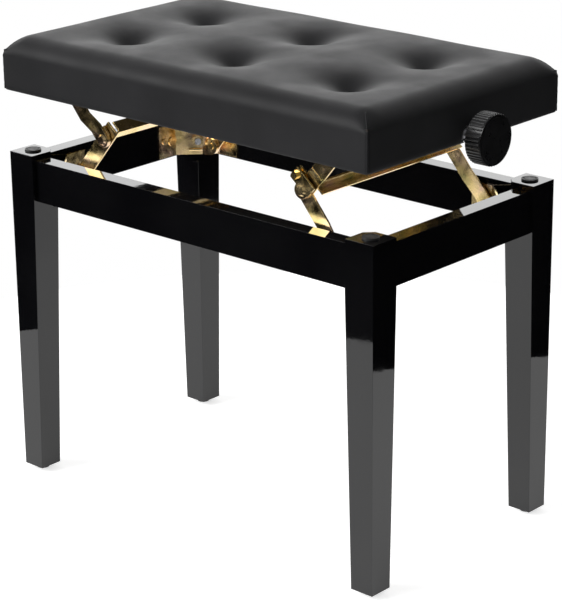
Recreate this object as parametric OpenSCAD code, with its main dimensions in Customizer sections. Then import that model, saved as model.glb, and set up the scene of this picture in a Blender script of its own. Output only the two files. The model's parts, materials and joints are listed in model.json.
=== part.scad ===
// Height-adjustable piano bench: wooden base, folding steel arms, padded seat.
// +X runs along the bench towards the knob, +Y to the back, +Z up. The floor is z = 0.

/* [Base frame] */
// Length of the base over the legs
frame_w = 554.4; // [500:0.1:620]
// Depth of the base over the legs
frame_d = 313.7; // [300:0.1:340]
// Height of the leg tops above the floor
leg_top_z = 402.3; // [396:0.1:420]
// Side of a leg at its top
leg_top_side = 38.3; // [34:0.1:42]
// Side of a leg at its foot
leg_foot_side = 29.8; // [24:0.1:34]
// Cut-back of the inner edge of a leg, behind its bracket
leg_chamfer = 9.5; // [6:0.5:12]
// Height of the foot glides
foot_h = 5; // [3:0.5:8]
// Diameter of a foot glide
foot_dia = 15; // [12:0.5:20]
// Thickness of the aprons
apron_t = 19.6; // [18:0.1:22]
// Height of the aprons
apron_h = 49.5; // [46:0.5:56]
// Drop of the apron tops below the leg tops
apron_drop = 6.5; // [4:0.1:8]
// Set-back of the aprons from the outer faces of the legs
apron_inset = 5.3; // [3:0.1:8]
// Diameter of the pads in the leg tops
pad_dia = 19; // [14:0.5:24]
// Height of the pads above the leg tops
pad_rise = 2; // [1:0.5:3]

/* [Corner brackets] */
// Distance of a bracket's fold from the inner corner
bracket_fold = 40; // [36:0.5:42]
// Distance of a bracket's end from the inner corner
bracket_reach = 69; // [64:0.5:72]
// Height of a bracket
bracket_h = 40; // [34:0.5:42]
// Thickness of the bracket steel
bracket_t = 2; // [1.5:0.1:2.5]
// Height of the bracket bolt above the floor
bolt_z = 367; // [362:0.5:372]
// Diameter of the bracket bolt
bolt_dia = 8; // [6:0.5:8]

/* [Folding arms] */
// Distance of the outer pivots from the middle of the base
pivot_x = 211.3; // [208:0.1:213]
// Height of the base pivots above the floor
pivot_z = 361; // [360:0.5:363]
// Length of every arm between its pivots
arm_len = 90.7; // [90:0.1:92]
// Rise of the arms above level, at this seat height
arm_rise = 50; // [46:0.5:54]
// Diameter of the pivot pins
pin_dia = 8; // [6:0.5:8]
// Running clearance of the pins, on the radius
pin_gap = 0.1; // [0.05:0.01:0.1]
// Thickness of the arm steel
arm_t = 2.5; // [2:0.1:2.5]
// Width of the arm strips
strip_w = 18; // [16:0.5:19]
// Sideways step in the right strips
strip_step = 3; // [2:0.5:3]
// Sideways step in the left strips
left_step = 6.2; // [5:0.1:7]
// Distance of the strips' outer faces from the middle at the knees
knee_y = 125; // [122:0.5:125]
// Distance of the right yoke's lower edge from its pivots
yoke_edge = 11; // [10.5:0.1:11]
// Width of the yokes' flanges
flange_w = 20; // [19:0.5:20]

/* [Seat] */
// Length of the seat
seat_w = 549.6; // [530:0.1:560]
// Depth of the seat
seat_d = 326.3; // [320:0.1:335]
// Height of the seat's lower edge above the floor
seat_z = 477.3; // [477:0.1:479]
// Height of the seat's sides up to the top seam
seat_side_h = 48; // [46:0.5:52]
// Rise of the cushion above the top seam
crown_h = 20; // [14:0.5:24]
// Thickness of the seat frame boards
board_t = 18; // [16:0.5:18]
// Thickness of the cover
cover_t = 1.5; // [1:0.1:2]
// Distance between the button columns
button_pitch = 165; // [150:1:175]
// Distance between the two rows of buttons
button_row = 126; // [110:1:135]

/* [Drive] */
// Height of the screw above the seat's lower edge
rod_rise = 9.7; // [9:0.1:10]
// Diameter of the screw
rod_dia = 10; // [8:0.5:10]
// Diameter of the knob
knob_dia = 57; // [50:0.5:60]
// Width of the knob
knob_w = 20; // [16:0.5:24]
// Distance of the knob's outer face from the middle of the base
knob_out = 313; // [308:0.5:318]
// Number of ribs round the knob
knob_ribs = 44; // [24:1:60]

/* [Hidden] */
$fn = 48;

// colours
lacquer = [0.03, 0.03, 0.035];
zinc = [0.80, 0.66, 0.32];
steel = [0.72, 0.72, 0.74];
vinyl = [0.12, 0.12, 0.13];
plastic = [0.05, 0.05, 0.05];
rubber = [0.15, 0.15, 0.15];
stained = [0.10, 0.07, 0.05];

// the knob stands out on one side, so the middle of the whole bench is beside the base's middle
mid_x = (knob_out - frame_w / 2) / 2;
eps = 0.01;

// base frame
apron_top = leg_top_z - apron_drop;
apron_bottom = apron_top - apron_h;
in_x = frame_w / 2 - apron_inset - apron_t;    // inner face of the end aprons
in_y = frame_d / 2 - apron_inset - apron_t;    // inner face of the long aprons
bracket_z = apron_bottom + 2;
kerf_depth = 7;
wing_screw = 60;                               // small wing screw, from the inner corner
wing_bolt = 47;                                // large wing screw, from the inner corner
wing_screw_z = bolt_z + 2;
small_screw_r = 2;
large_screw_r = 3;
hanger_len = 46;
chamfer_near = 2 * (in_x - (frame_w / 2 - leg_top_side)) - leg_chamfer;

// arms, in the plane of the long side
knee_x = pivot_x - arm_len * cos(arm_rise);
knee_z = pivot_z + arm_len * sin(arm_rise);
top_z = pivot_z + 2 * arm_len * sin(arm_rise);
arm_gap = 0.5;
flange_y = knee_y - arm_t - arm_gap;           // outer faces of the right yoke at the knee
flange_far_y = flange_y - 1.2;                 // and past the small step in its flanges
flange_step = 25;                              // distance of that step from the knee
left_plate_y = knee_y - arm_t;                 // outer faces of the left knee plates
left_flange_y = knee_y - 6;                    // outer faces of the left yoke
strip_far_y = knee_y + strip_step;             // outer faces of the right strips at their far ends
left_far_y = knee_y + left_step;               // and of the left strips
step_from = 45;                                // where the right strips' step starts, from the knee
step_to = 68;                                  // where it ends
left_step_from = 16;
left_step_to = 33;
plate_t = 2;
right_plate_y = knee_y + arm_gap + plate_t;    // outer faces of the right knee plates
pivot_r = pin_dia / 2;
bore_r = pivot_r + pin_gap;
ear_r = 10;
ear_t = 2.5;
base_ear_left = left_flange_y - arm_t - arm_gap;   // outer faces of the ears on the brackets
base_ear_right = strip_far_y - arm_t - arm_gap;
seat_ear_left = left_far_y + arm_gap + ear_t;
seat_ear_right = flange_far_y + arm_gap + ear_t;
open_gap = 0.5;                                // clearance on the radius of the right upper pins
rail_w = 24;
rib_out = 1.5;                                 // how far a bracket's pressed rib stands out
left_low = -9;                                 // lower edge of the left yoke, from its pivots
left_end = 109;                                // end of its flanges, from the base pivot
band_from = 103.4;                             // its cross band
band_to = 113.8;
end_plate_top = 6.5;                           // top of its turned-up end plate
yoke_band_from = 12.5;                         // the right yoke's cross band, from the knee
yoke_band_to = 27.5;
yoke_lip = 19;                                 // how far the band's lip reaches below the pivots
ear_len = 16;                                  // raised ears of the right yoke, along the arm
ear_top = 20.5;                                // and their height above the pivots
link_bolt_x = 7.9;                             // bolts through the raised ears
link_bolt_z = 15.8;
link_bolt_r = 3;
rise_relief = 18.5;                            // reach of the right brackets' pockets above the pivots

// seat
board_low = seat_z + cover_t;
panel_z = seat_z + seat_side_h - 12;
panel_t = 12;
cushion_z = panel_z + panel_t;
cushion_top = seat_z + seat_side_h + crown_h;
edge_r = 13;
button_dia = 20;
button_z = cushion_top - 17;
pocket_dia = 26;
cover_w = seat_w - 2 * cover_t;                // boards and panel, inside the cover
cover_d = seat_d - 2 * cover_t;

// drive
rod_z = seat_z + rod_rise;
rod_r = rod_dia / 2;
crank = top_z - rod_z;                         // from the upper pivots down to the screw
crank_lean = 7.25;                             // lean of the cranks at this seat height
nut_x = pivot_x + crank * tan(crank_lean);
trunnion_r = 3;
trunnion_y = 18.5;
fork_y = 14.5;
fork_t = 3;
fork_gap = 0.45;
rod_left = -(seat_w / 2 - board_t - cover_t - 14);
bearing_t = 3;
board_in = seat_w / 2 - cover_t - board_t;     // inner face of the end boards
collar_w = 8;
nut_up = 6.3;                                  // a nut's height above the screw, clear of its tube
nut_down = 8;
bolt_face = (bracket_fold + bracket_t * sqrt(2)) / sqrt(2);   // inner face of a bracket, along its bolt
bolt_end = bolt_face + 10;

module place() { translate([-mid_x, 0, 0]) children(); }

// children on all four corners, with local +X and +Y pointing inwards from the inner corner
module corner(sx, sy) {
  translate([sx * in_x, sy * in_y, 0])
    mirror([sx > 0 ? 1 : 0, 0, 0]) mirror([0, sy > 0 ? 1 : 0, 0]) children();
}
module corners() { for (sx = [-1, 1], sy = [-1, 1]) corner(sx, sy) children(); }
module both_y() { children(); mirror([0, 1, 0]) children(); }

// an arm's own frame: +X from its first pivot along the arm, +Z to its upper side
module arm(x, z, angle) { translate([x, 0, z]) rotate([0, -angle, 0]) children(); }
// a plate standing in the arm's plane, its outer face at y = -face, drawn in (X, Z)
module plate(face, t) { translate([0, -face + t, 0]) rotate([90, 0, 0]) linear_extrude(t) children(); }
module rod_y(r, y1, y2) { translate([0, y2, 0]) rotate([90, 0, 0]) cylinder(r = r, h = y2 - y1); }
module rod_x(r, x1, x2) { translate([x1, 0, 0]) rotate([0, 90, 0]) cylinder(r = r, h = x2 - x1); }
module slab(x1, x2, z1, z2) { translate([x1, z1]) square([x2 - x1, z2 - z1]); }

// ---------- base frame ----------
module leg_side(outer) {
  polygon([[outer, foot_h], [outer, leg_top_z], [outer - leg_top_side, leg_top_z],
           [outer - leg_top_side, apron_bottom], [outer - leg_foot_side, foot_h]]);
}
module leg(sx, sy) {
  place() color(lacquer) difference() {
    mirror([sx < 0 ? 1 : 0, 0, 0]) mirror([0, sy < 0 ? 1 : 0, 0]) intersection() {
      translate([0, frame_d / 2, 0]) rotate([90, 0, 0])
        linear_extrude(leg_top_side) leg_side(frame_w / 2);
      translate([frame_w / 2 - leg_top_side, 0, 0]) rotate([90, 0, 90])
        linear_extrude(leg_top_side) leg_side(frame_d / 2);
    }
    corner(sx, sy) translate([chamfer_near / 2, chamfer_near / 2, apron_bottom - 12])
      rotate(45) translate([0, -30, 0]) cube([30, 60, 100]);
    corner(sx, sy) translate([0, 0, bolt_z]) rotate(45) rod_x(bolt_dia / 2, -8, 40);
    translate([sx * (frame_w - leg_top_side) / 2, sy * (frame_d - leg_top_side) / 2, leg_top_z - 2])
      cylinder(d = pad_dia, h = 3);
    translate([sx * (frame_w - leg_foot_side) / 2, sy * (frame_d - leg_foot_side) / 2, foot_h - 1])
      cylinder(r = 2, h = 12);
  }
}
// a bracket's two wings, each with a small and a large screw; the long wing of a right bracket
// has no large one, because the base pivot's pin turns there
module wing_screw_places(sx) {
  for (s = [0, 1]) mirror([s, -s, 0]) {
    translate([wing_screw, bracket_t, wing_screw_z]) rotate([-90, 0, 0]) children(0);
    if (s == 1 || sx < 0)
      translate([wing_bolt, bracket_t, bolt_z]) rotate([-90, 0, 0]) children(1);
  }
}
module wing_screw_holes(sx) {
  wing_screw_places(sx) {
    translate([0, 0, -14]) cylinder(r = small_screw_r, h = 20);
    translate([0, 0, -14]) cylinder(r = large_screw_r, h = 20);
  }
}
module apron_cuts() {
  corners() for (s = [0, 1]) mirror([s, -s, 0])
    translate([bracket_reach - bracket_t, -kerf_depth - 0.5, bracket_z])
      cube([bracket_t, kerf_depth + 1, bracket_h]);
  for (sx = [-1, 1], sy = [-1, 1]) corner(sx, sy) wing_screw_holes(sx);
}
module long_apron(s) {
  place() color(lacquer) difference() {
    translate([-(frame_w / 2 - leg_top_side), s > 0 ? in_y : -in_y - apron_t, apron_bottom])
      cube([frame_w - 2 * leg_top_side, apron_t, apron_h]);
    apron_cuts();
  }
}
module end_apron(s) {
  place() color(lacquer) difference() {
    translate([s > 0 ? in_x : -in_x - apron_t, -(frame_d / 2 - leg_top_side), apron_bottom])
      cube([apron_t, frame_d - 2 * leg_top_side, apron_h]);
    apron_cuts();
  }
}
module leg_top_pads() {
  place() color(rubber) for (sx = [-1, 1], sy = [-1, 1])
    translate([sx * (frame_w - leg_top_side) / 2, sy * (frame_d - leg_top_side) / 2, leg_top_z - 2])
      difference() {
        cylinder(d = pad_dia, h = 2 + pad_rise);
        // shallow groove round the top
        translate([0, 0, 1.6 + pad_rise]) difference() {
          cylinder(r = pad_dia / 2 - 2, h = 1);
          translate([0, 0, -1]) cylinder(r = pad_dia / 2 - 2.8, h = 3);
        }
      }
}
module foot_glides() {
  place() color(rubber) for (sx = [-1, 1], sy = [-1, 1])
    translate([sx * (frame_w - leg_foot_side) / 2, sy * (frame_d - leg_foot_side) / 2, 0]) {
      cylinder(d = foot_dia, h = foot_h);
      translate([0, 0, foot_h - eps]) cylinder(r = 2, h = 10);
    }
}

// ---------- corner brackets ----------
module bracket(sx, sy) {
  fold_in = bracket_fold + bracket_t * sqrt(2) - bracket_t;
  place() color(zinc) corner(sx, sy) difference() {
    union() {
      translate([0, 0, bracket_z]) linear_extrude(bracket_h) polygon([
        [bracket_reach, -kerf_depth], [bracket_reach, bracket_t], [fold_in, bracket_t],
        [bracket_t, fold_in], [bracket_t, bracket_reach], [-kerf_depth, bracket_reach],
        [-kerf_depth, bracket_reach - bracket_t], [0, bracket_reach - bracket_t],
        [0, bracket_fold], [bracket_fold, 0],
        [bracket_reach - bracket_t, 0], [bracket_reach - bracket_t, -kerf_depth]]);
      // pressed stiffening rib under the bolt
      translate([bracket_fold / 2, bracket_fold / 2, bolt_z - 12.5]) rotate(45)
        translate([bracket_t - 0.5, -11, -1.5]) cube([rib_out + 0.5, 22, 3]);
    }
    translate([0, 0, bolt_z]) rotate(45) rod_x(bolt_dia / 2, 10, 50);
    wing_screw_holes(sx);
    if (sx > 0) pivot_relief();
  }
}
// pocket in a right bracket's fold for the strip's end and its pin
module pivot_relief() {
  translate([in_x - pivot_x, bracket_t, pivot_z]) rotate([-90, 0, 0])
    linear_extrude(in_y - base_ear_right - bracket_t) {
      circle(r = ear_r);
      // and for the upper edge of the strip as the arm rises
      intersection() {
        circle(r = rise_relief);
        slab(-strip_w / 2 - 0.2, strip_w / 2, -rise_relief, 0);
      }
    }
}
module pan_screw(r, head_r, head_h, len) {
  translate([0, 0, -len]) cylinder(r = r, h = len + eps);
  difference() {
    cylinder(r = head_r, h = head_h);
    for (a = [0, 90]) rotate(a) translate([-head_r * 0.55, -0.5, head_h - 0.7])
      cube([head_r * 1.1, 1, 1]);
  }
}
module bracket_screws() {
  place() color(zinc) for (sx = [-1, 1], sy = [-1, 1]) corner(sx, sy) wing_screw_places(sx) {
    pan_screw(small_screw_r, 4, 1.4, 13);
    pan_screw(large_screw_r, 6, 1.4, 13);
  }
}
module hanger_bolts() {
  place() color(steel) corners() translate([0, 0, bolt_z]) rotate(45)
    rod_x(bolt_dia / 2, bolt_end - hanger_len, bolt_end);
}
module hanger_nuts() {
  place() color(zinc) corners() translate([0, 0, bolt_z]) rotate(45) {
    translate([bolt_face, 0, 0]) rotate([0, 90, 0]) difference() {
      cylinder(d = 17, h = 1.6);
      translate([0, 0, -1]) cylinder(r = bolt_dia / 2, h = 4);
    }
    translate([bolt_face + 1.6, 0, 0]) rotate([0, 90, 0]) difference() {
      cylinder(d = 15, h = 6.5, $fn = 6);
      translate([0, 0, -1]) cylinder(r = bolt_dia / 2, h = 9);
    }
  }
}

// ---------- base pivots ----------
module ear(face) {
  translate([0, -face + ear_t, 0]) rotate([90, 0, 0]) cylinder(r = ear_r, h = ear_t);
}
// four ears welded to the diagonal faces of the brackets: the left ones meet the pressed rib
module base_pivot_ears() {
  place() color(zinc) for (sx = [-1, 1]) difference() {
    translate([sx * pivot_x, 0, pivot_z]) mirror([sx > 0 ? 0 : 1, 0, 0])
      both_y() plate(sx > 0 ? base_ear_right : base_ear_left, ear_t) {
        circle(r = ear_r);
        slab(0, 20, -ear_r - 2, -3.5);
      }
    translate([sx * pivot_x, 0, pivot_z]) rod_y(pivot_r, -200, 200);
    for (sy = [-1, 1]) corner(sx, sy) rotate(45) translate([-50, -100, bracket_z - 10])
      cube([50 + bolt_face + (sx > 0 ? 0 : rib_out), 200, 100]);
  }
}
// a pin from y = -outer with its head there, in to y = -inner
module headed_pin(outer, inner, head_t) {
  rod_y(pivot_r, -outer - eps, -inner);
  translate([0, -outer, 0]) rotate([90, 0, 0]) cylinder(r1 = 6.5, r2 = 4.5, h = head_t);
}
module base_pivot_pins() {
  place() color(zinc) both_y() {
    translate([-pivot_x, 0, pivot_z]) headed_pin(left_flange_y + 0.2, base_ear_left - ear_t - 1, 2);
    translate([pivot_x, 0, pivot_z]) headed_pin(strip_far_y + 0.2, base_ear_right - ear_t - 1, 1.4);
  }
}

// ---------- left arm ----------
module left_lower_yoke() {
  place() color(zinc) arm(-pivot_x, pivot_z, arm_rise) difference() {
    union() {
      both_y() plate(left_flange_y, arm_t) {
        circle(r = ear_r);
        slab(0, left_end, left_low, left_low + flange_w - 0.3);
      }
      translate([band_from, -left_flange_y, left_low])
        cube([band_to - band_from, 2 * left_flange_y, arm_t]);
      // turned-up end plate, clear of the flanges' ends
      translate([band_to - arm_t, -left_flange_y + arm_t, left_low])
        cube([arm_t, 2 * (left_flange_y - arm_t), end_plate_top - left_low]);
    }
    rod_y(bore_r, -200, 200);
    translate([arm_len, 0, 0]) rod_y(pivot_r, -200, 200);
  }
}
module left_knee_pins() {
  place() color(zinc) both_y() translate([-knee_x, 0, knee_z])
    headed_pin(knee_y + 0.2, left_flange_y - arm_t - 2, 2);
}
// a strip in its arm's frame, from the knee at x = 0; its outer face steps out to far_y
module strip(far_y, from, to) {
  near = -strip_w / 2;
  far = arm_len + ear_r;
  difference() {
    intersection() {
      translate([0, 0, -strip_w / 2]) linear_extrude(strip_w) polygon([
        [near, -knee_y], [from, -knee_y], [to, -far_y], [far, -far_y],
        [far, -far_y + arm_t], [to, -far_y + arm_t], [from, -knee_y + arm_t], [near, -knee_y + arm_t]]);
      translate([0, -100, 0]) rotate([90, 0, 0]) linear_extrude(40) {
        circle(r = strip_w / 2);
        translate([arm_len, 0]) circle(r = strip_w / 2);
        slab(0, arm_len, -strip_w / 2, strip_w / 2);
      }
    }
    rod_y(bore_r, -200, 0);
    translate([arm_len, 0, 0]) rod_y(bore_r, -200, 0);
  }
}
module left_upper_arm() { arm(-knee_x, knee_z, 180 - arm_rise) mirror([0, 0, 1]) children(); }
module left_upper_strip(s) {
  place() color(zinc) left_upper_arm() mirror([0, s > 0 ? 1 : 0, 0])
    strip(left_far_y, left_step_from, left_step_to);
}
// short plates behind the left strips, round the knee
module left_knee_plates() {
  place() color(zinc) left_upper_arm() difference() {
    both_y() plate(left_plate_y, arm_t) {
      circle(r = 9);
      slab(0, 12.7, -9, 10.8);
    }
    rod_y(bore_r, -200, 200);
  }
}
// a tube across the upper pivots, with two forked cranks that straddle the drive screw
module crank_tube(face, lean) {
  difference() {
    union() {
      rod_y(6, -face, face);
      for (y = [-fork_y - fork_t, fork_y]) translate([0, y, 0]) rotate([0, lean, 0]) {
        rod_y(9, 0, fork_t);
        translate([-7.5, 0, -crank - 7]) cube([15, fork_t, crank + 7]);
      }
    }
    rod_y(pivot_r, -face - 1, -face + 12);
    rod_y(pivot_r, face - 12, face + 1);
    rotate([0, lean, 0]) translate([-trunnion_r - fork_gap, -30, -crank - 8])
      cube([2 * (trunnion_r + fork_gap), 60, 12.5]);
  }
}
module left_crank_tube() {
  place() color(zinc) translate([-pivot_x, 0, top_z]) crank_tube(left_far_y - arm_t, crank_lean);
}

// ---------- right arm ----------
module right_lower_arm() { arm(knee_x, knee_z, -arm_rise) children(); }
module right_lower_strip(s) {
  place() color(zinc) right_lower_arm() mirror([0, s > 0 ? 1 : 0, 0])
    strip(strip_far_y, step_from, step_to);
}
module right_upper_arm() { arm(knee_x, knee_z, arm_rise) children(); }
// outline of the knee end of the right yoke and of the plates outside the strips
module right_knee_outline(r) {
  circle(r = r);
  slab(0, ear_len, -yoke_edge, ear_top);
}
module right_knee_holes() {
  rod_y(pivot_r, -200, 200);
  translate([link_bolt_x, 0, link_bolt_z]) rod_y(link_bolt_r, -200, 200);
}
module right_upper_yoke() {
  place() color(zinc) right_upper_arm() difference() {
    union() {
      both_y() plate(flange_y, arm_t) {
        right_knee_outline(yoke_edge);
        slab(0, flange_step + 1, -yoke_edge, flange_w - yoke_edge);
      }
      both_y() plate(flange_far_y, arm_t) {
        translate([arm_len, 0]) circle(r = ear_r);
        slab(flange_step - 1, arm_len, -yoke_edge, flange_w - yoke_edge);
      }
      translate([yoke_band_from, -flange_y, -yoke_edge])
        cube([yoke_band_to - yoke_band_from, 2 * flange_y, arm_t]);
      translate([yoke_band_from, -flange_y + arm_t, -yoke_lip])
        cube([arm_t, 2 * (flange_y - arm_t), yoke_lip - yoke_edge + 1]);
    }
    translate([arm_len, 0, 0]) rod_y(pivot_r, -200, 200);
    right_knee_holes();
  }
}
module right_knee_plates() {
  place() color(zinc) right_upper_arm() difference() {
    both_y() plate(right_plate_y, plate_t) right_knee_outline(9.5);
    right_knee_holes();
  }
}
module right_knee_pins() {
  place() color(zinc) both_y() translate([knee_x, 0, knee_z])
    headed_pin(right_plate_y, flange_y - arm_t - 2, 2);
}
module right_link_bolts() {
  inner = flange_y - arm_t;
  place() color(zinc) right_upper_arm() both_y() translate([link_bolt_x, 0, link_bolt_z]) {
    rod_y(link_bolt_r, -right_plate_y - 1, -inner + 5);
    translate([0, -right_plate_y, 0]) rotate([90, 0, 0]) cylinder(d = 9, h = 3.5, $fn = 6);
    translate([0, -inner + 4, 0]) rotate([90, 0, 0]) cylinder(d = 9, h = 4, $fn = 6);
  }
}
module right_upper_pins() {
  place() color(zinc) both_y() translate([pivot_x, 0, top_z])
    headed_pin(seat_ear_right + 0.2, flange_far_y - arm_t - 8, 2);
}
module right_crank_tube() {
  place() color(zinc) translate([pivot_x, 0, top_z]) crank_tube(flange_far_y - arm_t, -crank_lean);
}

// ---------- seat ----------
module long_board(s) {
  y1 = seat_d / 2 - cover_t - board_t;
  place() color(stained) translate([-(seat_w / 2 - cover_t), s > 0 ? y1 : -y1 - board_t, board_low])
    cube([seat_w - 2 * cover_t, board_t, panel_z - board_low]);
}
module end_board(s) {
  len = seat_d - 2 * cover_t - 2 * board_t;
  place() color(stained) difference() {
    translate([s > 0 ? board_in : -board_in - board_t, -len / 2, board_low])
      cube([board_t, len, panel_z - board_low]);
    translate([0, 0, rod_z]) rod_x(rod_r + 2, board_in - 10, board_in + board_t + 10);
  }
}
module seat_panel() {
  place() color(stained) difference() {
    translate([-cover_w / 2, -cover_d / 2, panel_z]) cube([cover_w, cover_d, panel_t]);
    for (s = [-1, 1]) rail_screw_places(s) translate([0, 0, -1]) cylinder(r = 2, h = 10);
    bearing_screw_places() translate([0, 0, -1]) cylinder(r = 1.5, h = 9);
  }
}
module rounded_block(w, d, h, r) {
  intersection() {
    translate([0, 0, h / 2]) cube([w, d, h], center = true);
    hull() for (sx = [-1, 1], sy = [-1, 1]) translate([sx * (w / 2 - r), sy * (d / 2 - r), 0]) {
      cylinder(r = r, h = h - r, $fn = 32);
      translate([0, 0, h - r]) sphere(r = r, $fn = 32);
    }
  }
}
module cushion() {
  place() color(vinyl) difference() {
    translate([0, 0, cushion_z]) rounded_block(seat_w - 2, seat_d - 2, cushion_top - cushion_z, edge_r);
    button_places() cylinder(d = pocket_dia, h = 40);
  }
}
module button_places() {
  for (i = [-1, 0, 1], s = [-1, 1]) translate([i * button_pitch, s * button_row / 2, button_z]) children();
}
module seat_buttons() {
  place() color(vinyl) button_places() {
    cylinder(d1 = button_dia - 2, d2 = button_dia, h = 2);
    translate([0, 0, 2 - eps]) cylinder(d1 = button_dia, d2 = button_dia - 8, h = 3);
  }
}
module cover_skirt() {
  place() color(vinyl) difference() {
    translate([-seat_w / 2, -seat_d / 2, seat_z]) cube([seat_w, seat_d, cushion_z - seat_z]);
    translate([-cover_w / 2, -cover_d / 2, board_low]) cube([cover_w, cover_d, 80]);
    translate([-seat_w / 2 + board_t, -seat_d / 2 + board_t, seat_z - 1])
      cube([seat_w - 2 * board_t, seat_d - 2 * board_t, 80]);
    translate([0, 0, rod_z]) rod_x(rod_r + 2, board_in, seat_w);
  }
}
module rail_screw_places(s) {
  for (y = [-90, -50, 50, 90]) translate([s * pivot_x, y, panel_z]) children();
}
module seat_rail(s, face) {
  place() color(zinc) difference() {
    union() {
      translate([s * pivot_x - rail_w / 2, -face, panel_z - ear_t]) cube([rail_w, 2 * face, ear_t]);
      translate([s * pivot_x, 0, 0]) both_y() {
        translate([0, 0, top_z]) ear(face);
        translate([-ear_r, -face, top_z]) cube([2 * ear_r, ear_t, panel_z - top_z]);
      }
    }
    translate([s * pivot_x, 0, top_z]) rod_y(s > 0 ? pivot_r + open_gap : pivot_r, -face - 1, face + 1);
    rail_screw_places(s) translate([0, 0, -10]) cylinder(r = 2, h = 12);
  }
}
module seat_rail_screws() {
  place() color(zinc) for (s = [-1, 1]) rail_screw_places(s)
    translate([0, 0, -ear_t]) rotate([180, 0, 0]) pan_screw(2, 4, 2, 9);
}
module seat_pivot_pins() {
  place() color(zinc) both_y() {
    translate([-pivot_x, 0, top_z]) headed_pin(seat_ear_left, left_far_y - arm_t, 2);
  }
}

// ---------- drive ----------
module bearing_screw_places() {
  for (y = [-9, 9]) translate([rod_left - 7, y, panel_z]) children();
}
module rod_bearing_left() {
  place() color(zinc) difference() {
    union() {
      translate([rod_left - bearing_t, -15, rod_z - 10]) cube([bearing_t, 30, panel_z - rod_z + 10]);
      translate([rod_left - 14, -15, panel_z - bearing_t]) cube([14, 30, bearing_t]);
    }
    translate([0, 0, rod_z]) rod_x(rod_r + 0.05, rod_left - 10, rod_left + 10);
    bearing_screw_places() translate([0, 0, -8]) cylinder(r = 1.5, h = 9);
  }
}
module rod_bearing_right() {
  place() color(zinc) difference() {
    translate([board_in - bearing_t, -17, rod_z - 8]) cube([bearing_t, 34, 28]);
    translate([0, 0, rod_z]) rod_x(rod_r + 0.05, board_in - 10, board_in + 10);
  }
}
module knob_escutcheon() {
  place() color(steel) translate([0, 0, rod_z]) difference() {
    rod_x(9.5, seat_w / 2, seat_w / 2 + 1.5);
    rod_x(rod_r + 0.6, seat_w / 2 - 1, seat_w / 2 + 3);
  }
}
module trunnion_nut(s) {
  place() color(zinc) translate([s * nut_x, 0, rod_z]) difference() {
    union() {
      translate([-8, -12, -nut_down]) cube([16, 24, nut_down + nut_up]);
      rod_y(trunnion_r, -trunnion_y, trunnion_y);
    }
    rod_x(rod_r + 0.05, -20, 20);
  }
}
module drive_rod() {
  place() color(steel) translate([0, 0, rod_z]) rod_x(rod_r, rod_left - 10, knob_out - 6);
}
module collar() { difference() { rod_x(9, 0, collar_w); rod_x(rod_r, -1, collar_w + 1); } }
module rod_collars() {
  place() color(steel) translate([0, 0, rod_z]) {
    translate([rod_left + 0.3, 0, 0]) collar();
    translate([board_in - bearing_t - collar_w - 0.3, 0, 0]) collar();
  }
}
module knob() {
  rib_r = PI * knob_dia / knob_ribs / 4;
  hub = 3;
  face_r = knob_dia / 2 - 4;
  place() color(plastic) translate([knob_out - knob_w, 0, rod_z]) difference() {
    union() {
      rod_x(knob_dia / 2 - rib_r, 0, knob_w - 1);
      for (i = [0 : knob_ribs - 1]) rotate([i * 360 / knob_ribs, 0, 0])
        translate([0.6, 0, knob_dia / 2 - rib_r]) rotate([0, 90, 0])
          cylinder(r = rib_r, h = knob_w - 2.4, $fn = 16);
      rod_x(knob_dia / 2 - 1, knob_w - 2, knob_w - 0.6);
      rod_x(10, -hub, 1);
    }
    rod_x(rod_r, -10, knob_w - 6);
    rod_x(face_r, knob_w - 2.2, knob_w + 2);
  }
}
module knob_cap() {
  face_r = knob_dia / 2 - 4;
  place() color(plastic) translate([knob_out - 2.2, 0, rod_z]) rod_x(face_r, 0, 2.2);
}

leg(-1, -1);  // leg_front_left
leg(1, -1);  // leg_front_right
leg(-1, 1);  // leg_back_left
leg(1, 1);  // leg_back_right
long_apron(-1);  // apron_front
long_apron(1);  // apron_back
end_apron(-1);  // apron_left
end_apron(1);  // apron_right
bracket(-1, -1);  // bracket_front_left
bracket(1, -1);  // bracket_front_right
bracket(-1, 1);  // bracket_back_left
bracket(1, 1);  // bracket_back_right
bracket_screws();
hanger_bolts();
hanger_nuts();
leg_top_pads();
foot_glides();
base_pivot_ears();
base_pivot_pins();
left_lower_yoke();
left_knee_pins();
left_upper_strip(-1);  // left_upper_strip_front
left_upper_strip(1);  // left_upper_strip_back
left_knee_plates();
left_crank_tube();
right_lower_strip(-1);  // right_lower_strip_front
right_lower_strip(1);  // right_lower_strip_back
right_upper_yoke();
right_knee_plates();
right_knee_pins();
right_link_bolts();
right_crank_tube();
right_upper_pins();
long_board(-1);  // seat_board_front
long_board(1);  // seat_board_back
end_board(-1);  // seat_board_left
end_board(1);  // seat_board_right
seat_panel();
cushion();
cover_skirt();
seat_buttons();
seat_rail(-1, seat_ear_left);  // seat_rail_left
seat_rail(1, seat_ear_right);  // seat_rail_right
seat_rail_screws();
seat_pivot_pins();
rod_bearing_left();
rod_bearing_right();
knob_escutcheon();
trunnion_nut(-1);  // left_trunnion_nut
trunnion_nut(1);  // right_trunnion_nut
drive_rod();
rod_collars();
knob();
knob_cap();
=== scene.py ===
import json
import math

import bmesh
import bpy
from mathutils import Matrix, Vector


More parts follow.
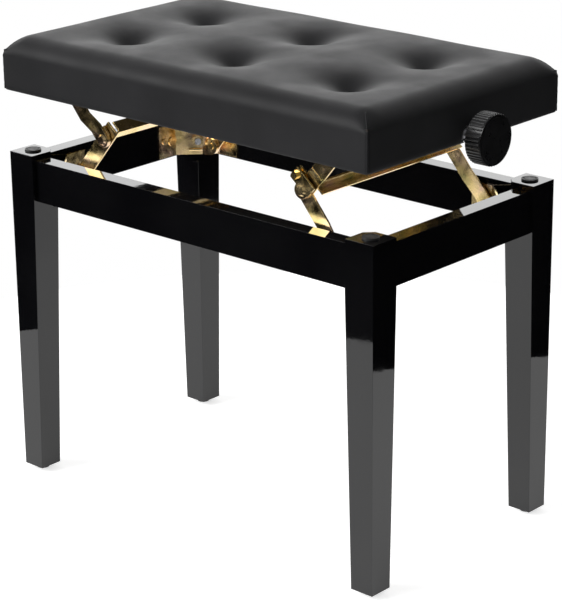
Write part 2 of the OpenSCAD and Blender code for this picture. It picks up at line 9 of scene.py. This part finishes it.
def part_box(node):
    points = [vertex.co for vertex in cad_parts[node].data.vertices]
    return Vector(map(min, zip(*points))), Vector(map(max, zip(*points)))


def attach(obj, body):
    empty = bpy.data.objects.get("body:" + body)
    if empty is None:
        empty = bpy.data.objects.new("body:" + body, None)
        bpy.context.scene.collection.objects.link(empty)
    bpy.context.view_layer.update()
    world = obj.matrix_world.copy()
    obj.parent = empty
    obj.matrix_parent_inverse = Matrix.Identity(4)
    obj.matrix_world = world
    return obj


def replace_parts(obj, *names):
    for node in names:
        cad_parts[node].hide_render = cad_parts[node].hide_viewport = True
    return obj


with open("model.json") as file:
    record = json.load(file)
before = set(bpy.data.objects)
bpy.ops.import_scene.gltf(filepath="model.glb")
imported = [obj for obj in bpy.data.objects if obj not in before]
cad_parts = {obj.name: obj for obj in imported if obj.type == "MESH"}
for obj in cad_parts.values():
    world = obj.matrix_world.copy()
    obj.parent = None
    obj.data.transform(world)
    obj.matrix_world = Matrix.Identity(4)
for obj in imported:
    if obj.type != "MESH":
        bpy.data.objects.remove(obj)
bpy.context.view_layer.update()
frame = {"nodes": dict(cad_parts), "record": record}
NODES = frame["nodes"]
RECORD = frame["record"]


# ---------------------------------------------------------------- places taken from the frame
def slot_of(node):
    return next(s["material_slot"] for s in RECORD["subparts"] if s["node"] == node)


def body_of(node):
    return next(b for b, nodes in RECORD["behaviour"]["bodies"].items() if node in nodes)


BASE_LOW, BASE_HIGH = (
    Vector(map(min, *[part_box(n)[0] for n in ("leg_front_left", "leg_back_right")])),
    Vector(map(max, *[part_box(n)[1] for n in ("leg_front_left", "leg_back_right")])),
)
BASE_MID = (BASE_LOW + BASE_HIGH) / 2          # middle of the base, which the knob isn't part of


# ---------------------------------------------------------------- camera
def camera():
    """Seen from the front right, a little above the seat, through a long lens."""
    distance_x, distance_y, height = 1.7049, -1.8668, 1.1348
    yaw, pitch, roll = math.radians(42.29), math.radians(19.53), math.radians(-0.63)
    forward = Vector((-math.sin(yaw) * math.cos(pitch), math.cos(yaw) * math.cos(pitch), -math.sin(pitch)))
    level = Vector((math.cos(yaw), math.sin(yaw), 0))
    raised = level.cross(forward)
    right = math.cos(roll) * level + math.sin(roll) * raised
    up = -math.sin(roll) * level + math.cos(roll) * raised
    data = bpy.data.cameras.new("camera")
    data.lens, data.sensor_width = 137.97, 36
    data.clip_end = 50
    cam = bpy.data.objects.new("camera", data)
    bpy.context.scene.collection.objects.link(cam)
    turn = Matrix((right, up, -forward)).transposed().to_4x4()
    cam.matrix_world = Matrix.Translation((BASE_MID.x + distance_x, distance_y, height)) @ turn
    bpy.context.scene.camera = cam


camera()


# ---------------------------------------------------------------- shader helpers
class Shader:
    """A node tree with short ways to add and join nodes."""

    def __init__(self, tree):
        self.tree = tree

    def add(self, kind, inputs=None, **settings):
        node = self.tree.nodes.new(kind)
        for key, value in settings.items():
            setattr(node, key, value)
        for key, value in (inputs or {}).items():
            if isinstance(value, bpy.types.NodeSocket):
                self.tree.links.new(value, node.inputs[key])
            else:
                node.inputs[key].default_value = value
        return node

    def coords(self):
        return self.add("ShaderNodeTexCoord").outputs["Object"]

    def noise(self, scale, detail=2.0, rough=0.5, vector=None, distort=0.0):
        return self.add("ShaderNodeTexNoise", {
            "Vector": vector or self.coords(), "Scale": scale, "Detail": detail,
            "Roughness": rough, "Distortion": distort}).outputs["Fac"]

    def ramp(self, fac, *stops):
        node = self.add("ShaderNodeValToRGB", {"Fac": fac})
        band = node.color_ramp
        while len(band.elements) < len(stops):
            band.elements.new(0.5)
        for element, (place, colour) in zip(band.elements, stops):
            element.position = place
            element.color = (*colour, 1.0)
        return node.outputs["Color"]

    def span(self, value, from_low, from_high, to_low, to_high, smooth=False):
        return self.add("ShaderNodeMapRange", {
            0: value, 1: from_low, 2: from_high, 3: to_low, 4: to_high},
            interpolation_type="SMOOTHSTEP" if smooth else "LINEAR").outputs[0]

    def math(self, operation, a, b=0.0):
        return self.add("ShaderNodeMath", {0: a, 1: b}, operation=operation).outputs[0]

    def bump(self, height, strength, distance, normal=None):
        inputs = {"Height": height, "Strength": strength, "Distance": distance}
        if normal:
            inputs["Normal"] = normal
        return self.add("ShaderNodeBump", inputs).outputs["Normal"]


def material(name, build, **principled):
    """A principled material. Plain values go straight on its sockets, and build returns the linked ones."""
    mat = bpy.data.materials.new(name)
    mat.use_nodes = True
    shader = Shader(mat.node_tree)
    surface = mat.node_tree.nodes["Principled BSDF"]
    for key, value in principled.items():
        surface.inputs[key.replace("_", " ")].default_value = value
    for key, socket in build(shader).items():
        mat.node_tree.links.new(socket, surface.inputs[key])
    return mat


def lacquer_look(s):
    haze = s.noise(9.0, 3.0)
    colour = s.ramp(haze, (0.35, (0.0025, 0.0025, 0.003)), (0.7, (0.0045, 0.0045, 0.005)))
    rough = s.span(s.noise(35.0, 4.0), 0.35, 0.7, 0.02, 0.05)
    peel = s.bump(s.noise(160.0, 1.0), 0.03, 0.0004)
    return {"Base Color": colour, "Roughness": rough, "Normal": peel}


def zinc_look(s):
    """Yellow chromate over zinc: gold, with faint pink and green bands and fine rolling marks."""
    bands = s.noise(26.0, 3.0, distort=0.6)
    colour = s.ramp(bands, (0.28, (0.56, 0.50, 0.20)), (0.42, (0.80, 0.61, 0.26)),
                    (0.55, (0.90, 0.68, 0.36)), (0.68, (0.86, 0.58, 0.42)), (0.8, (0.70, 0.62, 0.30)))
    rough = s.span(s.noise(90.0, 4.0), 0.3, 0.7, 0.14, 0.30)
    marks = s.bump(s.noise(420.0, 3.0), 0.12, 0.0002)
    return {"Base Color": colour, "Roughness": rough, "Normal": marks}


def steel_look(s):
    colour = s.ramp(s.noise(60.0, 3.0), (0.3, (0.55, 0.55, 0.57)), (0.7, (0.72, 0.72, 0.74)))
    rough = s.span(s.noise(120.0, 3.0), 0.3, 0.7, 0.18, 0.34)
    return {"Base Color": colour, "Roughness": rough, "Normal": s.bump(s.noise(600.0, 2.0), 0.1, 0.0002)}


def vinyl_look(s):
    """Fine pebbled grain about a millimetre across, with a soft unevenness in the shine."""
    cells = s.add("ShaderNodeTexVoronoi", {"Vector": s.coords(), "Scale": 1150.0}, feature="SMOOTH_F1")
    grain = s.bump(cells.outputs["Distance"], 0.35, 0.0003)
    grain = s.bump(s.noise(2400.0, 2.0), 0.2, 0.0002, grain)
    colour = s.ramp(s.noise(14.0, 3.0), (0.3, (0.017, 0.017, 0.018)), (0.7, (0.023, 0.023, 0.0245)))
    rough = s.span(s.noise(22.0, 3.0), 0.3, 0.7, 0.46, 0.56)
    return {"Base Color": colour, "Roughness": rough, "Normal": grain}


def plastic_look(s):
    colour = s.ramp(s.noise(40.0, 2.0), (0.3, (0.007, 0.007, 0.0075)), (0.7, (0.011, 0.011, 0.012)))
    rough = s.span(s.noise(150.0, 3.0), 0.3, 0.7, 0.26, 0.36)
    return {"Base Color": colour, "Roughness": rough, "Normal": s.bump(s.noise(1500.0, 2.0), 0.08, 0.0002)}


def rubber_look(s):
    colour = s.ramp(s.noise(70.0, 3.0), (0.3, (0.012, 0.012, 0.012)), (0.7, (0.022, 0.022, 0.022)))
    rough = s.span(s.noise(200.0, 3.0), 0.3, 0.7, 0.45, 0.65)
    return {"Base Color": colour, "Roughness": rough, "Normal": s.bump(s.noise(900.0, 3.0), 0.2, 0.0003)}


def wood_look(s):
    stretch = s.add("ShaderNodeMapping", {"Vector": s.coords(), "Scale": (1.0, 9.0, 9.0)}).outputs[0]
    grain = s.noise(14.0, 6.0, 0.6, vector=stretch, distort=1.2)
    colour = s.ramp(grain, (0.3, (0.010, 0.007, 0.005)), (0.7, (0.022, 0.016, 0.011)))
    rough = s.span(grain, 0.3, 0.7, 0.6, 0.8)
    return {"Base Color": colour, "Roughness": rough, "Normal": s.bump(grain, 0.2, 0.0005)}


MATERIALS = {
    "lacquer": material("lacquer", lacquer_look, IOR=1.5),
    "zinc_steel": material("zinc_steel", zinc_look, Metallic=1.0),
    "bright_steel": material("bright_steel", steel_look, Metallic=1.0),
    "vinyl": material("vinyl", vinyl_look, IOR=1.5, Specular_IOR_Level=0.12),
    "black_plastic": material("black_plastic", plastic_look, IOR=1.5),
    "rubber": material("rubber", rubber_look, IOR=1.5),
    "wood": material("wood", wood_look, IOR=1.5),
}


# ---------------------------------------------------------------- carried-over and softened pieces
def new_piece(name, bm, slot, body, smooth=True):
    mesh = bpy.data.meshes.new(name)
    bm.to_mesh(mesh)
    bm.free()
    mesh.materials.append(MATERIALS[slot])
    for face in mesh.polygons:
        face.use_smooth = smooth
    piece = bpy.data.objects.new(name, mesh)
    bpy.context.scene.collection.objects.link(piece)
    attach(piece, body)
    return piece


def softened(node, width, segments=2):
    """A copy of a CAD node with its sharp edges rounded, as lacquered wood or pressed steel has them."""
    bm = bmesh.new()
    bm.from_mesh(NODES[node].data)
    bmesh.ops.remove_doubles(bm, verts=bm.verts, dist=1e-6)
    if slot_of(node) == "lacquer":
        bmesh.ops.dissolve_limit(bm, angle_limit=math.radians(0.5), verts=bm.verts, edges=bm.edges)
    sharp = [e for e in bm.edges if e.is_manifold and e.calc_face_angle(0) > math.radians(25)]
    bmesh.ops.bevel(bm, geom=sharp, offset=width, segments=segments, profile=0.5,
                    affect="EDGES", clamp_overlap=True)
    piece = new_piece(node + "_soft", bm, slot_of(node), body_of(node))
    smooth_flat(piece)
    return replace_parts(piece, node)


def smooth_flat(piece):
    """Large flat faces keep flat shading beside rounded edges."""
    piece.modifiers.new("flats", "WEIGHTED_NORMAL").keep_sharp = True


for node, obj in NODES.items():
    obj.data.materials.clear()
    obj.data.materials.append(MATERIALS[slot_of(node)])

LACQUER_EDGE = 0.0011                          # rounding of the lacquered wood's edges
SHEET_EDGE = 0.00035                           # and of the pressed steel's
SHEET_PARTS = ("bracket_front", "bracket_back", "left_lower_yoke", "left_upper_strip", "left_knee_plates",
               "right_lower_strip", "right_upper_yoke", "right_knee_plates")
for node in NODES:
    if slot_of(node) == "lacquer":
        softened(node, LACQUER_EDGE, 3)
    elif node.startswith(SHEET_PARTS):
        softened(node, SHEET_EDGE)


# ---------------------------------------------------------------- cushion
SKIRT_LOW, SKIRT_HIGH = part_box("cover_skirt")
PAD_LOW, PAD_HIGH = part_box("cushion")
SEAT_MID = (SKIRT_LOW + SKIRT_HIGH) / 2
SEAT_W, SEAT_D = SKIRT_HIGH.x - SKIRT_LOW.x, SKIRT_HIGH.y - SKIRT_LOW.y
SEAT_Z = SKIRT_LOW.z
CROWN = PAD_HIGH.z - SEAT_Z                    # height of the padded top above the seat's lower edge
SIDE = 0.043                                   # height of the flat side below the rounded edge
ROLL = 0.028                                   # width of the rounded edge
CORNER = 0.004                                 # plan radius of the corners
SKIN = 0.0012                                  # thickness of the cover
HEM = 0.0175                                   # how far the cover turns in under the boards
CROWN_RISE = 0.004                             # rise of the top from its edges to its middle
TUFT_DEPTH, TUFT_WIDTH = 0.022, 0.031
TUFT_PITCH = 0.165                             # between the dimples, along the seat
TUFT_ROW = 0.063                               # from the middle of the seat to each row of dimples
BUTTONS = [Vector((SEAT_MID.x + i * TUFT_PITCH, SEAT_MID.y + s * TUFT_ROW))
           for s in (-1, 1) for i in (-1, 0, 1)]


def lines(length, step, turns=14):
    """Grid lines across the seat from one edge to the other, close together round the rounded edges."""
    edge = [ROLL * (1 - math.cos(math.pi / 2 * i / turns)) for i in range(turns)]
    flat = length - 2 * ROLL
    count = round(flat / step)
    inner = [ROLL + flat * i / count for i in range(count + 1)]
    return edge + inner + [length - e for e in reversed(edge)]


def rounded_plan(x, y):
    """Moves a point of the square outline onto one with small round corners."""
    dx, dy = SEAT_W / 2 - abs(x), SEAT_D / 2 - abs(y)
    if dx >= CORNER or dy >= CORNER:
        return x, y
    u, v = (CORNER - dx) / CORNER, (CORNER - dy) / CORNER
    pull = max(u, v) / math.hypot(u, v)
    u, v = u * pull, v * pull
    return (math.copysign(SEAT_W / 2 - CORNER + CORNER * u, x),
            math.copysign(SEAT_D / 2 - CORNER + CORNER * v, y))


def roll(distance):
    """0 at the edge of the seat, 1 past the rounded edge, along a quarter circle."""
    t = min(1.0, distance / ROLL)
    return math.sqrt(max(0.0, 1 - (1 - t) ** 2))


def top_height(x, y):
    across = roll(SEAT_W / 2 - abs(x)) * roll(SEAT_D / 2 - abs(y))
    crown = CROWN_RISE * math.cos(math.pi * x / SEAT_W) * math.cos(math.pi * y / SEAT_D)
    height = SIDE + (CROWN - CROWN_RISE - SIDE) * across + crown
    for b in BUTTONS:
        r = math.hypot(x + SEAT_MID.x - b.x, y + SEAT_MID.y - b.y)
        height -= TUFT_DEPTH * math.exp(-((r / TUFT_WIDTH) ** 1.3))
    return height


MESH_STEP = 0.005
PRESSURE = 3.0
STEPS = 20
MOST = 0.006                                   # cap on how far the pressure may move the cover


def inflate(piece):
    """Presses the cover out from inside as cloth, held round its edge and at the middle of each dimple."""
    scene = bpy.context.scene
    start = [v.co.copy() for v in piece.data.vertices]
    held = piece.vertex_groups.new(name="held")
    for v in piece.data.vertices:
        nearest = min((v.co.xy - b).length for b in BUTTONS)
        across = abs(v.co.x - SEAT_MID.x)
        along = abs(v.co.y - SEAT_MID.y)
        inside = min(SEAT_W / 2 - across, SEAT_D / 2 - along)
        if inside < ROLL * 0.9 or nearest < 0.005:
            held.add([v.index], 1.0, "REPLACE")
    cloth = piece.modifiers.new("inflate", "CLOTH")
    cloth.settings.quality = 7
    cloth.settings.mass = 0.35
    cloth.settings.tension_stiffness = 12
    cloth.settings.compression_stiffness = 12
    cloth.settings.shear_stiffness = 5
    cloth.settings.bending_stiffness = 0.2
    cloth.settings.use_pressure = True
    cloth.settings.uniform_pressure_force = PRESSURE
    cloth.settings.vertex_group_mass = held.name
    cloth.settings.effector_weights.gravity = 0.0
    cloth.point_cache.frame_start = 1
    cloth.point_cache.frame_end = STEPS
    for step in range(1, STEPS + 1):
        scene.frame_set(step)
    settled = piece.evaluated_get(bpy.context.evaluated_depsgraph_get()).to_mesh()
    ends = [v.co.copy() for v in settled.vertices]
    piece.modifiers.remove(cloth)
    for v, low, high in zip(piece.data.vertices, start, ends):
        move = high - low
        if move.length > MOST:
            move = move.normalized() * MOST
        v.co = low + move
    piece.vertex_groups.clear()
    scene.frame_set(1)


def cushion():
    xs = [v - SEAT_W / 2 for v in lines(SEAT_W, MESH_STEP)]
    ys = [v - SEAT_D / 2 for v in lines(SEAT_D, MESH_STEP)]
    bm = bmesh.new()

    def point(x, y, z):
        return bm.verts.new((SEAT_MID.x + x, SEAT_MID.y + y, SEAT_Z + z))

    grid = [[point(*rounded_plan(x, y), top_height(x, y)) for x in xs] for y in ys]
    for j in range(len(ys) - 1):
        for i in range(len(xs) - 1):
            bm.faces.new((grid[j][i], grid[j][i + 1], grid[j + 1][i + 1], grid[j + 1][i]))
    last_x, last_y = len(xs) - 1, len(ys) - 1
    ring = ([(i, 0) for i in range(last_x)] + [(last_x, j) for j in range(last_y)]
            + [(i, last_y) for i in range(last_x, 0, -1)] + [(0, j) for j in range(last_y, 0, -1)])
    plan = [(xs[i], ys[j]) for i, j in ring]

    def lower(previous, inset, z):
        row = []
        for x, y in plan:
            px, py = rounded_plan(x, y)
            row.append(point(px * (1 - 2 * inset / SEAT_W), py * (1 - 2 * inset / SEAT_D), z))
        join(previous, row)
        return row

    def join(a, b):
        n = len(a)
        for k in range(n):
            bm.faces.new((a[k], b[k], b[(k + 1) % n], a[(k + 1) % n]))

    row = [grid[j][i] for i, j in ring]
    for z in (0.040, 0.036, 0.031, 0.025, 0.019, 0.013, 0.007, 0.003):
        row = lower(row, 0.0, z)
    row = lower(row, 0.0008, 0.001)
    row = lower(row, 0.003, 0.0)
    row = lower(row, HEM, 0.0)
    row = lower(row, HEM, SKIN)
    row = lower(row, SKIN, SKIN + 0.0004)
    panel_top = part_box("seat_panel")[1].z - SEAT_Z
    row = lower(row, SKIN, panel_top)
    bm.faces.new(row)
    bmesh.ops.recalc_face_normals(bm, faces=bm.faces)
    piece = new_piece("cushion_cover", bm, "vinyl", "seat")
    inflate(piece)
    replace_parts(piece, "cushion", "cover_skirt", "seat_buttons")
    return piece


SEAM_THICK = 0.0009
SEAM_SET_IN = 0.0011                           # of the seam's middle, from the cover's square corner
SEAM_SIDES = 8


def corner_seams():
    """A sewn ridge up each corner of the cover and a short way over its rounded edge."""
    path = [(0.0, 0.002 + SIDE * i / 12) for i in range(12)]
    path += [(0.0012 * i, None) for i in range(1, 14)]
    turn = [2 * math.pi * a / SEAM_SIDES for a in range(SEAM_SIDES)]
    bm = bmesh.new()
    for sx in (-1, 1):
        for sy in (-1, 1):
            rings = []
            for k, (inset, height) in enumerate(path):
                x, y = SEAT_W / 2 - inset - SEAM_SET_IN, SEAT_D / 2 - inset - SEAM_SET_IN
                z = top_height(x, y) if height is None else height
                thick = SEAM_THICK * (1 + 0.12 * math.sin(k * 2.4))
                middle = Vector((SEAT_MID.x + sx * x, SEAT_MID.y + sy * y, SEAT_Z + z))
                side = Vector((-sy, sx, 0)).normalized() * sx * sy
                out = Vector((sx, sy, 0)).normalized()
                rings.append([bm.verts.new(middle + thick * (math.cos(a) * side + math.sin(a) * out))
                              for a in turn])
            for a, b in zip(rings, rings[1:]):
                for k in range(SEAM_SIDES):
                    after = (k + 1) % SEAM_SIDES
                    bm.faces.new((a[k], a[after], b[after], b[k]))
            bm.faces.new(rings[0])
            bm.faces.new(rings[-1])
    bmesh.ops.recalc_face_normals(bm, faces=bm.faces)
    new_piece("cover_corner_seams", bm, "vinyl", "seat")


cushion()
corner_seams()


# ---------------------------------------------------------------- stage
FLOOR_RADIUS = 0.80


def floor():
    """A round pale sheet under the bench. Past it there is nothing, so upright gloss looks dark there."""
    bpy.ops.mesh.primitive_circle_add(vertices=96, radius=FLOOR_RADIUS, fill_type="NGON",
                                      location=(BASE_MID.x, 0, 0))
    disc = bpy.context.object
    disc.name = "floor"
    mat = bpy.data.materials.new("floor")
    mat.use_nodes = True
    surface = mat.node_tree.nodes["Principled BSDF"]
    surface.inputs["Base Color"].default_value = (0.82, 0.82, 0.82, 1)
    surface.inputs["Roughness"].default_value = 0.9
    surface.inputs["Emission Color"].default_value = (1, 1, 1, 1)
    surface.inputs["Emission Strength"].default_value = 0.62
    disc.data.materials.append(mat)


floor()


def studio():
    """White to the camera. For the rest: dark below, bright low behind and soft at the front left."""
    world = bpy.data.worlds.new("studio")
    bpy.context.scene.world = world
    world.use_nodes = True
    s = Shader(world.node_tree)
    world.node_tree.nodes.clear()
    way = s.add("ShaderNodeTexCoord").outputs["Generated"]
    height = s.add("ShaderNodeSeparateXYZ", {0: way}).outputs["Z"]

    def towards(direction, inner, outer):
        unit = Vector(direction).normalized()
        dot = s.add("ShaderNodeVectorMath", {0: way, 1: unit}, operation="DOT_PRODUCT").outputs["Value"]
        return s.span(dot, math.cos(math.radians(outer)), math.cos(math.radians(inner)), 0.0, 1.0, True)

    above = s.span(height, 0.0, 0.06, 0.0, 1.0, True)
    low = s.span(height, 0.46, 0.60, 1.0, 0.0, True)
    behind = s.math("MULTIPLY", s.math("MULTIPLY", towards((-0.63, 0.70, 0.2), 35, 62), low), above)
    front_left = s.math("MULTIPLY", towards((-0.55, -0.72, 0.42), 12, 28), above)
    overhead = s.span(height, 0.75, 1.0, 0.0, 1.0, True)
    total = s.math("MULTIPLY", behind, 2.2)
    total = s.math("ADD", total, s.math("MULTIPLY", front_left, 7.5))
    total = s.math("ADD", total, s.math("MULTIPLY", overhead, 0.25))
    total = s.math("ADD", total, s.math("MULTIPLY", above, 0.28))
    light = s.add("ShaderNodeBackground", {"Color": (1, 1, 1, 1), "Strength": total})
    white = s.add("ShaderNodeBackground", {"Color": (1, 1, 1, 1), "Strength": 1.0})
    seen = s.add("ShaderNodeLightPath").outputs["Is Camera Ray"]
    mix = s.add("ShaderNodeMixShader", {0: seen, 1: light.outputs[0], 2: white.outputs[0]})
    s.add("ShaderNodeOutputWorld", {"Surface": mix.outputs[0]})


studio()
bpy.context.scene.view_settings.view_transform = "Standard"
